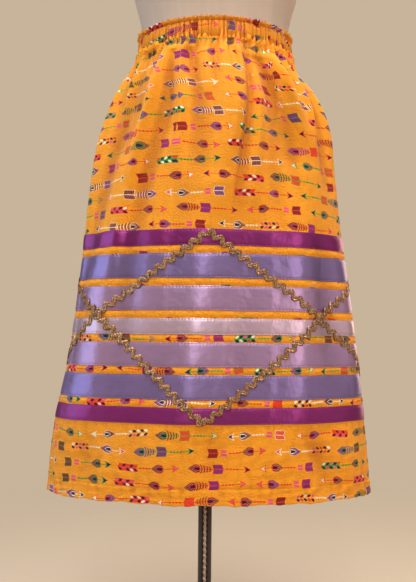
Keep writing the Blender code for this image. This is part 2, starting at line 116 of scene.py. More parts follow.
FORM_SECTIONS = scaled(  # height, middle, half width, front, back, roundness
    SECTION_UNITS,
    (7900, 70, 1480, 860, 1000, 215), (8600, 80, 1590, 970, 1140, 205),
    (9250, 90, 1560, 965, 1090, 200), (9850, 90, 1400, 930, 985, 200),
    (10300, 90, 1219, 921, 926, 200), (10850, 90, 1219, 921, 926, 200),
    (11500, 90, 1380, 1020, 970, 200), (12150, 90, 1520, 1220, 1040, 210),
    (12750, 90, 1630, 1260, 1070, 220), (13350, 90, 1690, 1080, 1030, 230),
    (13750, 90, 1660, 870, 940, 230), (14000, 90, 1520, 730, 830, 225),
    (14220, 90, 1120, 620, 720, 215), (14420, 90, 700, 550, 620, 200),
    (14600, 90, 570, 530, 580, 200), (14900, 90, 540, 520, 560, 200),
    (15000, 90, 490, 470, 510, 200),
)
FORM_BOTTOM, FORM_TOP = 0.79, 1.5
POLE_RADIUS = 0.0113
BASE_RADIUS = 0.17
BASE_THICKNESS = 0.01
HUB_RADIUS = 0.019
HUB_HEIGHT = 0.06

# Sizes of the finer form.

SEAM_SIDE = 0.25  # the side seams' fraction
HEM_TURN = 0.025  # the hem's turned-up cloth
GATHERED_IN = 0.34  # how much wider a panel is cut than the seam it is gathered to
GATHERED_FROM = 0.84  # the height where that extra width starts
HIDDEN_IN_TUCK = 0.016  # cloth that a tuck takes in at its upper end
SLIP_IN_TUCK = 0.008  # how far it carries the print down on its lower side
GATHER_DEPTH = 0.003
MERGED_DEPTH = 0.0026  # of the gathers that run on
HEAD_PUFF = 0.0036  # how far the gathers stand out at the casing's seam
CREASE_GAIN = 2.2
WAIST_CREASE = 1.01  # a crease from above this height grows out of the gathers

PANEL_COLUMNS = 400
CASING_COLUMNS = 1600
RIBBON_COLUMNS = 1000
FORM_COLUMNS = 288
BRAID_STEPS = 240  # along each of a braid's straight stretches

# Smaller creases, uneven in length, depth and spacing.
CREASES = scaled(
    FOLD_UNITS,
    (-222, -230, 1030, 700, 44, 22), (-196, -200, 1030, 860, -16, 14),
    (-156, -194, 1040, 660, -66, 21), (-143, -137, 1030, 940, 26, 9),
    (-128, -146, 1030, 800, -22, 10), (-106, -152, 1040, 640, 58, 14),
    (-74, -124, 1030, 680, -38, 26), (-90, -86, 1030, 930, -20, 8), (-68, -50, 1040, 800, 40, 12),
    (-52, -50, 1030, 950, -18, 7), (-39, -28, 1040, 840, -26, 12), (-18, -14, 1030, 900, 18, 10),
    (0, -6, 1030, 930, -18, 8), (24, 4, 1040, 720, 42, 19), (42, 36, 1030, 940, -16, 8),
    (56, 20, 1040, 840, 18, 9), (68, 30, 1050, 820, -24, 8), (78, 56, 1030, 740, 40, 11),
    (92, 108, 1020, 720, -48, 22), (108, 106, 1030, 940, 22, 8), (128, 146, 1030, 880, 58, 12),
    (112, 144, 1000, 720, -44, 14), (156, 160, 1030, 900, -26, 10), (172, 170, 1030, 800, 22, 12),
    (190, 196, 1030, 800, -44, 14), (210, 226, 1040, 740, 44, 16), (236, 240, 1020, 820, -24, 14),
    (-142, -152, 800, 340, 26, 28), (-122, -120, 740, 520, -16, 22), (-60, -70, 800, 480, 14, 22),
    (122, 98, 800, 380, -5, 20), (-30, -36, 640, 340, 9, 26), (34, 30, 700, 280, -10, 22),
    (-205, -212, 800, 400, -18, 22), (168, 172, 820, 420, -24, 22), (212, 218, 780, 400, 22, 20),
    (-64, -58, 500, 300, 18, 22), (6, 12, 470, 310, -18, 20), (120, 160, 460, 310, -26, 18),
    (186, 190, 460, 300, 18, 22), (-150, -164, 450, 310, -16, 20), (262, 258, 1030, 840, 26, 13),
    (276, 268, 1040, 800, -34, 12), (302, 300, 1030, 820, 32, 14), (324, 330, 1030, 900, -26, 10),
    (340, 334, 1040, 800, 36, 12), (360, 350, 1030, 780, -40, 18), (380, 384, 1030, 930, 20, 8),
    (398, 404, 1030, 840, -26, 12), (416, 424, 1040, 780, 34, 13), (440, 456, 1040, 760, -42, 12),
    (456, 470, 1030, 800, 32, 11), (476, 478, 1030, 930, -20, 8), (494, 500, 1040, 820, 28, 14),
    (-484, -478, 1030, 900, -24, 10), (-464, -454, 1030, 780, 30, 12),
    (-444, -424, 1040, 760, -44, 14), (-428, -408, 1030, 800, 34, 11),
    (-398, -396, 1030, 930, -20, 9), (-380, -376, 1030, 800, 30, 14),
    (-354, -362, 1040, 780, -40, 13), (-336, -342, 1030, 820, 32, 11),
    (-312, -308, 1030, 920, -22, 10), (-290, -286, 1030, 800, 26, 14),
    (-268, -272, 1030, 860, -24, 12), (350, 356, 800, 450, -24, 22), (452, 446, 780, 400, 20, 22),
    (404, 396, 460, 310, -20, 20), (-458, -452, 800, 420, -22, 22), (-362, -356, 760, 380, 20, 22),
    (-406, -414, 460, 310, -18, 20),
)

# Profiles, as pairs in tenths of a millimetre.
HEM_ROLL = scaled(  # height above the hem and out, round its edge and up inside
    10000, (22, 0), (10, 1), (3, -3), (0, -10), (4, -18), (30, -23), (120, -24), (240, -22),
    (246, -14))
CASING_CROWN = scaled(  # height above the seam and out from the face, over the header's edge
    10000, (358, -2), (360, -6), (357, -11), (338, -15))
RIBBON_EDGE = scaled(  # in from the edge, and out
    10000, (0, -1), (2, 6), (8, 11), (18, 9), (30, 12), (60, 14))
# A gather head's profile: share of its rise, and of the way in to the casing's face.
HEADS = ((0.0, 0.0), (0.3, 0.1), (0.6, 0.32), (0.82, 0.58), (0.95, 0.82), (1.0, 1.06))
CASING_INSIDE = (0.03, 0.018, 0.006, 0.0004)  # heights of its inner face
CASING_INNER = -0.0036  # and how far out that lies
RIBBON_FACE = 0.0015  # how far out a ribbon's middle lies
RIBBON_OVERLAP = 0.02
BRAID_SEAT = 0.0013  # how far out a braid's underside lies
BRAID_HALF_THICKNESS = 0.0008


# ---- the cloth's form

def smoothstep(value):
    value = np.clip(value, 0.0, 1.0)
    return value * value * (3.0 - 2.0 * value)


def bell(distance, half_width):
    return np.exp(-(distance / half_width) ** 2)


def uneven(fraction, cycles, seed):
    """A smooth run between about -1 and 1 that closes on itself, no two waves alike."""
    chance = np.random.default_rng(seed)
    total = np.zeros_like(np.asarray(fraction, float))
    for share in (0.55, 0.8, 1.0, 1.35, 1.75):
        phase = chance.uniform(0, 2 * math.pi)
        total = total + np.sin(2 * math.pi * round(cycles * share) * fraction + phase)
    return np.tanh(total / 1.9)


def joined(*parts):
    """Numbers and arrays, as the last axis of one array."""
    return np.stack(np.broadcast_arrays(*parts), axis=-1)


def raised(flat, height):
    """Flat complex positions as points at a height."""
    return joined(flat.real, flat.imag, height)


def around(columns):
    """Fractions all the way round, the last one where the first is."""
    return np.arange(columns + 1)[None, :] / columns - 0.5


def rows_at(heights, sections):
    """Each height's section, on the smooth curve through the table's rows."""
    rows = sections[np.argsort(sections[:, 0])]
    heights = np.clip(heights, rows[0, 0], rows[-1, 0])
    last = len(rows) - 1
    i = np.clip(np.searchsorted(rows[:, 0], heights, side="right") - 1, 0, last - 1)
    before, low = rows[np.maximum(i - 1, 0)], rows[i]
    high, after = rows[i + 1], rows[np.minimum(i + 2, last)]
    span = (high - low)[:, :1]
    t = (heights[:, None] - low[:, :1]) / span
    slope_low = (high - before)[:, 1:] / (high - before)[:, :1] * span
    slope_high = (after - low)[:, 1:] / (after - low)[:, :1] * span
    return (
        (2 * t ** 3 - 3 * t ** 2 + 1) * low[:, 1:]
        + (t ** 3 - 2 * t ** 2 + t) * slope_low
        + (3 * t ** 2 - 2 * t ** 3) * high[:, 1:]
        + (t ** 3 - t ** 2) * slope_high
    )


class Wrap:
    """A body of oval rings as a table, read at any fraction and height."""

    STEPS = 1024
    RING_GAP = 0.002

    def __init__(self, ovals, low, high, soften):
        self.heights = np.arange(low, high + self.RING_GAP, self.RING_GAP)
        rings = [self.ring(*oval, soften) for oval in ovals(self.heights)]
        self.rings, self.girths = (np.array(part) for part in zip(*rings))
        outward = (np.roll(self.rings, -1, axis=1) - np.roll(self.rings, 1, axis=1)) * -1j
        self.outward = outward / np.abs(outward)
        rise = np.abs(np.diff(self.rings, axis=0)) ** 2 + self.RING_GAP ** 2
        self.lengths = np.zeros(self.rings.shape)
        self.lengths[1:] = np.cumsum(np.sqrt(rise), axis=0)

    def ring(self, middle, half_width, front, back, roundness, soften):
        """Points a same length apart from the centre back, as complex numbers, and the girth."""
        angle = np.linspace(-math.pi, math.pi, 4 * self.STEPS + 1)
        across, along = np.sin(angle), np.cos(angle)
        power = 2 / roundness
        x = middle + half_width * np.sign(across) * np.abs(across) ** power
        y = -np.where(along > 0, front, back) * np.sign(along) * np.abs(along) ** power
        run = np.concatenate([[0], np.cumsum(np.hypot(np.diff(x), np.diff(y)))])
        even = np.linspace(0, run[-1], self.STEPS, endpoint=False)
        ring = np.interp(even, run, x) + 1j * np.interp(even, run, y)
        waves = np.abs(np.fft.fftfreq(self.STEPS, 1 / self.STEPS))
        width = 2 * math.pi * soften / run[-1]
        kept = np.exp(-0.5 * (waves * width) ** 2) / math.exp(-0.5 * width ** 2)
        kept[0] = 1.0
        return np.fft.ifft(np.fft.fft(ring) * kept), run[-1]

    def read(self, table, fraction, height):
        fraction, height = np.broadcast_arrays(fraction, height)
        row = np.clip((height - self.heights[0]) / self.RING_GAP, 0, len(self.heights) - 1.001)
        column = ((fraction + 0.5) % 1.0) * self.STEPS
        r, c = np.floor(row).astype(int), np.floor(column).astype(int) % self.STEPS
        up, over = row - r, column - np.floor(column)
        after = (c + 1) % self.STEPS
        low = table[r, c] * (1 - over) + table[r, after] * over
        high = table[r + 1, c] * (1 - over) + table[r + 1, after] * over
        return low * (1 - up) + high * up

    def girth(self, height):
        return np.interp(height, self.heights, self.girths)

    def points(self, fraction, height, out):
        """Flat positions, moved out from the wrap, as complex numbers."""
        place = self.read(self.rings, fraction, height)
        outward = self.read(self.outward, fraction, height)
        return place + out * outward / np.abs(outward)

    def along(self, fraction, height, start):
        """Length up the wrap from a starting height."""
        return self.read(self.lengths, fraction, height) - self.read(self.lengths, fraction, start)


def skirt_ovals(heights):
    for left, right, front, back, roundness in rows_at(heights, SECTIONS):
        yield (right - left) / 2, (right + left) / 2, front, back, roundness


def form_ovals(heights):
    return rows_at(heights, FORM_SECTIONS)


SKIRT = Wrap(skirt_ovals, HEM_HEIGHT - 0.01, CASING_SEAM + 0.05, soften=0.01)
FORM = Wrap(form_ovals, FORM_BOTTOM, FORM_TOP, soften=0.002)


def round_to(fraction, line):
    """Signed fraction from a line, the short way round."""
    return (fraction - line + 0.5) % 1.0 - 0.5


def tuck_shape(distance, width, side):
    away = distance * side
    ridge = (1 - smoothstep(-away / width)) * smoothstep(0.5 - away / TUCK_STEP)
    hollow_side = -TUCK_FALL * (1 - smoothstep((away - TUCK_STEP) / width))
    fall = 0.5 + (hollow_side - 0.5) * smoothstep(away / TUCK_STEP)
    return np.where(away < 0, ridge, fall)


def soft_shape(distance, width):
    return np.where(np.abs(distance) > width, 0.0, 0.5 + 0.5 * np.cos(math.pi * distance / width))


def fold_strength(height, upper, lower):
    grown = smoothstep((upper - height) / FOLD_RISE)
    return grown * smoothstep((height - lower) / (0.5 * (upper - lower)))


def fold_line(height, top, bottom, upper, lower):
    share = np.clip((upper - height) / (upper - max(lower, HEM_HEIGHT)), 0.0, 1.0)
    return top + (bottom - top) * share


def folds_at(fraction, height):
    """The folds that part.py's solids have too."""
    total = 0.0
    for *line, depth, width, side in FOLDS:
        distance = round_to(fraction, fold_line(height, *line)) * SKIRT.girth(height)
        shape = tuck_shape(distance, width, side) if side else soft_shape(distance, width)
        total = total + depth * fold_strength(height, *line[2:]) * shape
    return total


def creases_at(fraction, height):
    """Smaller creases, each fading out at both its ends."""
    total = 0.0
    for top, bottom, upper, lower, depth, width in CREASES:
        share = np.clip((upper - height) / (upper - lower), 0.0, 1.0)
        distance = round_to(fraction, top + (bottom - top) * share) * SKIRT.girth(height)
        if upper > WAIST_CREASE:
            fade = np.sin(math.pi * share ** 0.6)
        else:
            fade = np.sin(math.pi * share) ** 2
        total = total + CREASE_GAIN * depth * fade * bell(distance, width)
    return total


def relief_at(fraction, height):
    """All that the folds and creases move the cloth out from the wrap."""
    return folds_at(fraction, height) + creases_at(fraction, height)


def gather_wave(fraction):
    turn = 2 * math.pi * fraction
    return (1 + 0.22 * np.sin(13 * turn) + 0.16 * np.sin(29 * turn + 1.3)) * np.cos(GATHERS * turn)


def gathers_at(fraction, height):
    """Fine gathers under the casing, which run on unevenly and merge as they go down."""
    below = CASING_SEAM - height
    reach = 0.017 + 0.008 * uneven(fraction, 17, 3)
    fine = GATHER_DEPTH * gather_wave(fraction) * np.exp(-np.maximum(below, 0) / reach)
    long_reach = 0.04 + 0.018 * uneven(fraction, 21, 6)
    merged = MERGED_DEPTH * uneven(fraction, 34, 5)
    merged = merged * np.exp(-np.maximum(below - 0.012, 0) / long_reach)
    puff = HEAD_PUFF * np.exp(-(np.maximum(below, 0) / 0.016) ** 1.5)
    return (fine + merged * smoothstep(below / 0.015) + puff) * smoothstep((0.18 - below) / 0.08)


def band_rows():
    """(bottom, top) of each ribbon, from the top down."""
    top = BAND_TOP
    for _, width in RIBBONS:
        yield top - width, top
        top -= width + RIBBON_SPACE


BAND = tuple(band_rows())
BAND_BOTTOM = BAND[-1][0]


def gap_puff(fraction, height):
    """Cloth between two ribbons stands out a little and puckers at their stitches."""
    total = 0.0
    for (upper, _), (_, lower) in zip(BAND, BAND[1:]):
        share = np.clip((upper - height) / (upper - lower), 0.0, 1.0)
        swell = 0.0011 + 0.0004 * uneven(fraction, 31, 11) + 0.0004 * uneven(fraction, 110, 12)
        total = total + swell * np.sin(math.pi * share)
    return total


def edge_puckers(fraction, height):
    """Ripples just above and below the band and above the hem's stitching, and small dents."""
    above = np.exp(-np.maximum(height - BAND_TOP, 0) / 0.012) * (height > BAND_TOP)
    under = np.exp(-np.maximum(BAND_BOTTOM - height, 0) / 0.012) * (height < BAND_BOTTOM)
    stitch = HEM_HEIGHT + HEM_TURN
    hem = bell(height - stitch + 0.006, 0.01)
    ripple = uneven(fraction, 70, 21) + 0.8 * uneven(fraction, 130, 25)
    groove = -0.0009 * bell(height - stitch, 0.0014)
    slanted = uneven(fraction + 1.6 * height, 17, 27) * uneven(fraction - 1.2 * height, 25, 28)
    clear = smoothstep((BAND_BOTTOM - height) / 0.015)
    clear = clear + 0.3 * smoothstep((height - BAND_TOP) / 0.02)
    dents = 0.0011 * slanted * clear * smoothstep((1.0 - height) / 0.05)
    ripples = 0.0005 * ripple * (above + under) + 0.0009 * uneven(fraction, 48, 22) * hem
    return ripples + groove + dents


def dipped(height, fraction):
    share = smoothstep((height - DIP_END) / (CASING_SEAM - DIP_END))
    return height - SIDE_DIP * share * np.sin(2 * math.pi * fraction) ** 2


def cloth_at(fraction, height, out):
    """Points over the cloth's main form, at a distance out from it."""
    fraction, height = np.broadcast_arrays(fraction, height)
    flat = SKIRT.points(fraction, height, relief_at(fraction, height) + out)
    return raised(flat, dipped(height, fraction))


def print_place(fraction, height):
    """Where on the printed cloth a point lies: across and up, with what the tucks take in."""
    fraction, height = np.broadcast_arrays(fraction, height)
    ease = 1 + GATHERED_IN * smoothstep((height - GATHERED_FROM) / 0.2)
    across = fraction * SKIRT.girth(height) * ease
    up = SKIRT.along(fraction, np.minimum(height, CASING_SEAM), HEM_HEIGHT)
    up = up + np.maximum(height - CASING_SEAM, 0)
    for *line, _, _, side in FOLDS[FOLDS[:, -1] != 0]:
        beyond = round_to(fraction, fold_line(height, *line)) * SKIRT.girth(height) * side
        passed = smoothstep(beyond / TUCK_STEP)
        upper, lower = line[2:]
        strength = smoothstep((height - lower) / (upper - lower))
        across = across + side * HIDDEN_IN_TUCK * strength * (passed - (side < 0))
        up = up + SLIP_IN_TUCK * strength * passed * np.exp(-np.maximum(beyond, 0) / 0.1)
    return joined(across, up)


# ---- meshes

def hollow(relief, fraction, reach, depth):
    """From 0 to 1, how much lower a relief lies than it does on both sides."""
    beside = sum(relief(fraction + reach * step) for step in (-1.0, -0.6, 0.6, 1.0)) / 4
    return np.clip((beside - relief(fraction)) / depth, 0.0, 1.0)


# Shares of painted shade for the cloth and satin, in the hollows between folds and creases.
def hollow_between_folds(fraction, height):
    return hollow(lambda f: relief_at(f, height), fraction, 0.03, 0.008)


def new_object(name, data):
    made = bpy.data.objects.new(name, data)
    bpy.context.scene.collection.objects.link(made)
    return made


def make_piece(name, node, slot, material, points, places, crease_shade_mask=None, closed=True):
    """A piece of quads over rows and columns of points, with its places as UVs in metres.

    A closed one's last column lies on its first, and is left out. A second UV map tells
    the material how deep in a crease each place lies, and the material paints shade there.
    """
    if closed:
        points = points[:, :-1]
    rows, columns = points.shape[:2]
    steps = columns if closed else columns - 1
    row, column = np.meshgrid(np.arange(rows - 1), np.arange(steps), indexing="ij")
    after = (column + 1) % columns
    corners = ((row, column, column), (row, after, column + 1),
               (row + 1, after, column + 1), (row + 1, column, column))
    faces = np.stack([r * columns + c for r, c, _ in corners], axis=-1).reshape(-1, 4)
    mesh = bpy.data.meshes.new(name)
    mesh.from_pydata(points.reshape(-1, 3).tolist(), [], faces.tolist())
    layers = {"cloth": places}
    if crease_shade_mask is not None:
        layers["crease"] = joined(crease_shade_mask, crease_shade_mask)
    for layer, values in layers.items():
        loops = np.stack([values[r, p] for r, _, p in corners], axis=2)
        mesh.uv_layers.new(name=layer).data.foreach_set("uv", loops.astype(np.float32).ravel())
    mesh.materials.append(material)
    mesh.shade_smooth()
    piece = new_object(name, mesh)
    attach(piece, "root")
    if node:
        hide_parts(node)
    return piece


# ---- materials

def linear(red, green, blue):
    """An sRGB colour from 0 to 255 as the linear one that a shader takes."""
    return tuple(((c / 255 + 0.055) / 1.055) ** 2.4 if c > 10 else c / 3294.6
                 for c in (red, green, blue)) + (1.0,)


class Signal:
    """A number, colour or vector that a node gives. Arithmetic on it adds Math nodes."""

    def __init__(self, graph, socket):
        self.graph = graph
        self.socket = socket

    def __rsub__(self, other):
        return self.graph.math("SUBTRACT", other, self)

    def within(self, low, high):
        """1 between two plain numbers, else 0."""
        return (self - (low + high) / 2).abs().below((high - low) / 2)


def math_method(operation):
    return lambda signal, *others: signal.graph.math(operation, signal, *others)


for method, operation in {
        "__add__": "ADD", "__radd__": "ADD", "__sub__": "SUBTRACT", "__mul__": "MULTIPLY",
        "__rmul__": "MULTIPLY", "__truediv__": "DIVIDE", "power": "POWER", "root": "SQRT",
        "abs": "ABSOLUTE", "floor": "FLOOR", "fract": "FRACT", "sin": "SINE",
        "below": "LESS_THAN", "above": "GREATER_THAN",
        "at_least": "MAXIMUM", "at_most": "MINIMUM"}.items():
    setattr(Signal, method, math_method(operation))


class Graph:
    """The nodes of a material or the world. What is the same all over stays on its shader."""

    def __init__(self, owner, shader, **constants):
        owner.use_nodes = True
        self.owner = owner
        self.tree = owner.node_tree
        self.shader = self.tree.nodes[shader]
        for socket, value in constants.items():
            self.shade(socket.replace("_", " "), value)

    def feed(self, socket, value):
        if isinstance(value, Signal):
            self.tree.links.new(value.socket, socket)
        else:
            socket.default_value = value

    def shade(self, socket, value):
        self.feed(self.shader.inputs[socket], value)

    def add(self, kind, inputs=(), output=0, **settings):
        """A new node's output."""
        node = self.tree.nodes.new("ShaderNode" + kind)
        for name, value in settings.items():
            setattr(node, name, value)
        for socket, value in dict(inputs).items():
            self.feed(node.inputs[socket], value)
        return Signal(self, node.outputs[output])

    def parts(self, signal):
        """All the outputs of a signal's node."""
        return [Signal(self, socket) for socket in signal.socket.node.outputs]

    def math(self, operation, *values):
        return self.add("Math", enumerate(values), operation=operation)

    def place(self, layer="cloth"):
        """The piece's own cloth coordinates, in metres, or what its other UV map holds."""
        uv = self.add("UVMap", uv_map=layer)
        return self.parts(self.add("SeparateXYZ", {0: uv}))[:2]

    def crease(self):
        """How deep in a crease the place lies, from 0 to 1, as the share of painted shade there.
        """
        return self.place("crease")[0]

    def object_place(self):
        return self.add("TexCoord", output="Object")

    def vector(self, x, y):
        return self.add("CombineXYZ", {0: x, 1: y})

    def chance(self, x, y):
        """Three random numbers for each pair of whole numbers."""
        noise = self.add("TexWhiteNoise", {"Vector": self.vector(x, y)}, "Color",
                         noise_dimensions="2D")
        return self.parts(self.add("SeparateColor", {0: noise}))

    def noise(self, place, scale, detail=2.0, roughness=0.5):
        """Soft noise over a vector, or over a pair of numbers."""
        place = place if isinstance(place, Signal) else self.vector(*place)
        return self.add("TexNoise", {
            "Vector": place, "Scale": scale, "Detail": detail, "Roughness": roughness})

    def mix(self, share, first, second):
        """The second colour over the first, by a share from 0 to 1."""
        return self.add("Mix", {0: share, 6: first, 7: second}, 2, data_type="RGBA")

    def choose(self, number, *stops):
        """A colour by number: each stop is where it starts and the colour."""
        chosen = self.add("ValToRGB", {0: number})
        ramp = chosen.socket.node.color_ramp
        ramp.interpolation = "CONSTANT"
        while len(ramp.elements) < len(stops):
            ramp.elements.new(1.0)
        for element, (start, colour) in zip(ramp.elements, stops):
            element.position = start
            element.color = colour
        return chosen

    def bump(self, height, distance, strength):
        self.shade("Normal", self.add("Bump", {
            "Height": height, "Distance": distance, "Strength": strength}))

    def colour(self, value):
        self.shade("Base Color", value)

    def waves(self, value, length):
        """A sine with one wave in each length."""
        return (value * (2 * math.pi / length)).sin()


def material_graph(name, **constants):
    return Graph(bpy.data.materials.new(name), "Principled BSDF", **constants)


# ---- printed cotton

ORANGE = linear(250, 168, 38)
ORANGE_DEEP = linear(244, 154, 27)
# Painted shade: the cotton's colour is mixed towards this dark red orange where it lies deep in a
# fold, crease or gather.
COTTON_PAINTED_SHADE = linear(146, 48, 4)
COTTON_PAINTED_SHADE_SHARE = 0.42  # how much of that shade a deep crease has
NAVY = linear(34, 22, 66)
CREAM = linear(250, 238, 200)
GREEN = linear(44, 160, 66)
RED = linear(236, 66, 30)
PINK = linear(240, 92, 124)
MAROON = linear(128, 32, 30)
PURPLE = linear(128, 42, 118)
BROWN = linear(140, 62, 30)

ROW_PITCH = 0.025
ROW_SHIFT = 0.0065
ROW_DRIFT = 0.01
TILT = 0.12
CELL = 0.11  # one arrow and the space after it
ARROW = 0.097
SHAFT_HALF = 0.0005
SHAFT_END = 0.09
HEAD_START = 0.0882
BEAD_PITCH = 0.0049
BEAD = (0.0019, 0.0014)  # half its length and width
BLOCK_LENGTH = 0.014
BLOCK_HALF = 0.0066
RIM = 0.0007  # the line round a block
HATCH_PITCH = 0.0021
LEAF_LENGTH = 0.0195
LEAF_WIDTH = 0.0172
HEART_WIDTH = 0.0098
DASH_PITCH = 0.0064
DASH = (0.0026, 0.0022)  # half its length and width
DASH_SIDE = 0.0029
BARB_PITCH = 0.0042
BARB_BOW = 55.0
BARB_HALF = 0.0074


def arrow_print(graph, across, up):
    """Rows of arrows: a notched block, slanted dashes or a feather at the tail."""
    drift = graph.noise((across, up), 14.0, 1.0)
    up = up + (drift - 0.5) * ROW_DRIFT + ROW_SHIFT
    row = (up / ROW_PITCH).floor()
    row_chance, kind_shift, _ = graph.chance(row, 7.0)
    along = across / CELL + row_chance * 3.0
    cell = along.floor()
    one, two, three = graph.chance(cell, row)
    forward = (one * 8.0).fract().below(0.5)
    step = (along - cell) * CELL
    x = step + (CELL - step * 2.0) * (1.0 - forward) - (CELL - ARROW) / 2
    y = up - (row + 0.5) * ROW_PITCH + (x - ARROW / 2) * ((two - 0.5) * TILT)
    a = y.abs()
    kind = ((cell + (kind_shift * 3.0).floor()) / 3.0).fract() * 3.0
    block_kind = kind.below(0.5)
    dash_kind = kind.within(0.5, 1.5)
    feather_kind = kind.above(1.5)

    line = graph.choose(three, (0.0, GREEN), (0.36, CREAM), (0.68, RED))
    block_colour = graph.choose((two * 5.0).fract(), (0.0, MAROON), (0.4, PURPLE), (0.8, RED))
    leaf_colour = graph.choose((one * 5.0).fract(), (0.0, PURPLE), (0.4, MAROON), (0.75, BROWN))
    heart_colour = graph.choose((three * 7.0).fract(), (0.0, NAVY), (0.6, PINK), (0.86, CREAM))
    colour = graph.mix(graph.noise((across, up), 9.0, 3.0), ORANGE_DEEP, ORANGE)

    def paint(share, ink):
        nonlocal colour
        colour = graph.mix(share, colour, ink)

    def oval(over, aside, half_length, half_width):
        return ((over / half_length).power(2.0) + (aside / half_width).power(2.0)).below(1.0)

    def drop(share):
        """A drop's width from its point at 0 to its round end at 1."""
        return share * (1.0 - share).at_least(0.0).root()

    # the shaft, its beads and the head
    shaft_start = dash_kind * 0.03 + block_kind * 0.038 + feather_kind * 0.02
    paint(a.below(SHAFT_HALF) * (x - shaft_start).above(0.0) * x.below(SHAFT_END), line)
    bead_start = dash_kind * 0.0335 + block_kind * 0.0385 + feather_kind * 0.058
    bead = (x - bead_start) / BEAD_PITCH
    round_bead = oval((bead.fract() - 0.5) * BEAD_PITCH, a, *BEAD)
    paint(round_bead * bead.within(0.0, 4.0), line)
    barbed = x + a * 0.5
    paint(barbed.above(HEAD_START) * (x + a * 2.0).below(ARROW), line)
    paint(barbed.above(HEAD_START + 0.0013) * (x + a * 2.1).below(ARROW - 0.0014), heart_colour)

    # the notched block, with a smaller pair beside it on the plain arrow
    slant = x + a * 0.3
    block = slant - (block_kind * 0.008 + feather_kind * 0.04)
    no_dashes = 1.0 - dash_kind
    rim = block.within(-RIM, BLOCK_LENGTH + RIM) * a.below(0.0072)
    paint(rim * no_dashes, line)
    hatch = (slant / HATCH_PITCH).fract().below(0.22)
    striped = graph.mix(hatch * 0.3, block_colour, line)
    paint(block.within(0.0, BLOCK_LENGTH) * a.within(0.0005, BLOCK_HALF) * no_dashes, striped)
    paint(x.within(0.0268, 0.035) * a.within(0.0006, 0.0045) * block_kind, PINK)

    # a pointed leaf with a nested heart
    leaf_start = block_kind * 0.0585 + dash_kind * 0.0535
    p = (x - leaf_start) / LEAF_LENGTH
    q = a / (drop(p) * LEAF_WIDTH).at_least(0.00001)
    in_leaf = p.within(0.0, 1.0)
    paint(q.below(1.0) * in_leaf, line)
    paint((q + (p - 0.6).abs() * 0.2).below(0.93) * in_leaf, leaf_colour)
    vein = (q * 2.2 - p * 2.4).fract().below(0.22)
    paint(q.below(0.9) * in_leaf * vein * 0.4, CREAM)
    inner = (p - 0.4) / 0.56
    heart = drop(inner) * HEART_WIDTH
    paint((a - heart).below(0.0) * inner.within(0.0, 1.0), line)
    paint((a - heart * 0.62).below(0.0) * inner.within(0.14, 0.9), NAVY)

    # slanted dashes in pairs
    dash = (x - a * 0.55 + 0.003) / DASH_PITCH
    number = dash.floor()
    side = y.above(0.0)
    in_dashes = dash.within(0.0, 5.0) * dash_kind
    paint(in_dashes * a.below(0.0054) * (1.0 - three.within(0.36, 0.68)), line)
    dash_ink, _, _ = graph.chance(number + side * 9.0, cell + row * 3.0)
    dash_colour = graph.choose(dash_ink, (0.0, PINK), (0.36, RED), (0.66, CREAM))
    dark = ((number + side) / 2.0).fract().below(0.25)
    dash_shape = oval((dash.fract() - 0.5) * DASH_PITCH, a - DASH_SIDE, *DASH)
    paint(dash_shape * in_dashes, graph.mix(dark, dash_colour, NAVY))

    # the feather's arcs, behind its leaf
    barb = (x + a.power(2.0) * BARB_BOW - 0.0205) / BARB_PITCH
    inside = (a - (BARB_HALF - barb * 0.0011)).below(0.0)
    paint(barb.fract().below(0.42) * barb.within(0.0, 4.0) * inside * feather_kind, leaf_colour)
    paint((barb + 0.35).fract().below(0.22) * barb.within(0.0, 4.4) * inside * feather_kind, line)
    return colour


def weave_bump(graph, across, up):
    """A plain weave with slubs, fine creasing and lint."""
    weave = graph.waves(across, 0.00055) * graph.waves(up, 0.0006)
    slubs = graph.noise((across * 60.0, up * 700.0), 1.0)
    crumple = graph.noise((across, up), 55.0, 4.0, 0.55)
    crepe = graph.noise((across, up * 1.5), 240.0, 2.0, 0.6)
    graph.bump(weave * 0.1 + slubs * 0.25 + crumple * 2.8 + crepe * 2.3, 0.0009, 0.8)


def make_cotton():
    graph = material_graph("printed_cotton", Roughness=0.82, Sheen_Weight=0.08,
                           Sheen_Roughness=0.5, Specular_IOR_Level=0.25)
    across, up = graph.place()
    cloth = arrow_print(graph, across, up)
    # Painted shade in the creases, by the crease UV map.
    graph.colour(graph.mix(graph.crease() * COTTON_PAINTED_SHADE_SHARE, cloth, COTTON_PAINTED_SHADE))
    weave_bump(graph, across, up)
    return graph.owner


# ---- satin, braid and the rest

SATIN = {  # ground and sheen colours, and a slot name
    "magenta": (linear(130, 20, 100), linear(200, 96, 196), "magenta_satin"),
    "violet": (linear(128, 106, 158), linear(196, 184, 240), "violet_satin"),
    "lilac": (linear(166, 132, 172), linear(232, 206, 240), "lilac_satin"),
    "pale": (linear(200, 172, 190), linear(244, 228, 240), "pale_lilac_satin"),
}
STITCH_INSET = 0.0018  # the stitching's distance from a ribbon's edge
STITCH_HALF = 0.00032
STITCH_PITCH = 0.0026
# Painted shade in the satin's creases: the share of the mix in a deep crease, and the dark colour
# as a share of the ground.
SATIN_PAINTED_SHADE_SHARE = 0.6  # how much darker a deep crease is, towards this share of the ground
SATIN_PAINTED_SHADE_LEVEL = 0.45


